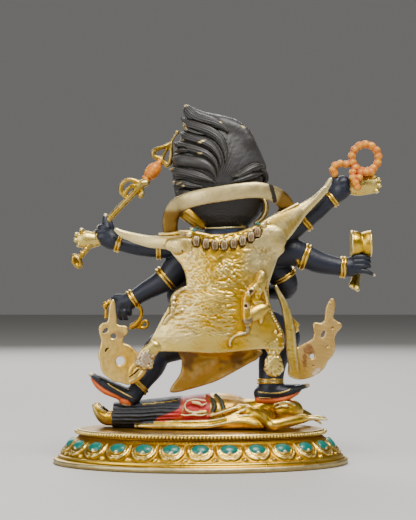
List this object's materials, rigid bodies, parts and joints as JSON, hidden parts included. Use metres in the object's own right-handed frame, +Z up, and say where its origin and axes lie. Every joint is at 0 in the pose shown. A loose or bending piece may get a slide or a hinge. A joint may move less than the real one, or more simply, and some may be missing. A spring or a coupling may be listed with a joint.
{
  "type": "mahakala figure",
  "caption": "Many-armed protector figure striding over a lying figure on an oval lotus plinth, with an elephant hide stretched across its back.",
  "frame": {"origin": "middle of the plinth's underside, on the surface it stands on", "axes": "+Z up through the figure, -Y the way the figure faces, +X towards the figure's own left hand"},
  "size_m": [0.1008, 0.0576, 0.1103],
  "materials": {
    "plinth_gilding": "fire-gilded cast copper alloy, matte gold with worn pale edges, turquoise stones painted in",
    "lying_figure_gilding": "gilded casting with a painted dark skirt and red cloth",
    "figure_paint": "matte blue-black paint over a casting, charcoal hair, gilded bands and orange soles",
    "hide_gilding": "pale champagne gilding, rubbed, yellow gold in the recesses",
    "scarf_gilding": "pale champagne gilding, rubbed, with brown bare patches",
    "staff_gilding": "satin gilding, the trident's pot painted orange",
    "bead_paint": "orange paint rubbed pale on the beads"
  },
  "bodies": {
    "root": {"lotus_plinth": "plinth_gilding", "trampled_figure": "lying_figure_gilding", "mahakala_figure": "figure_paint", "elephant_hide": "hide_gilding", "scarf_loop": "scarf_gilding", "scarf_end_left": "scarf_gilding", "scarf_end_right": "scarf_gilding", "trident": "staff_gilding", "prayer_beads": "bead_paint", "hand_drum": "staff_gilding", "noose": "staff_gilding"}
  },
  "joints": []
}
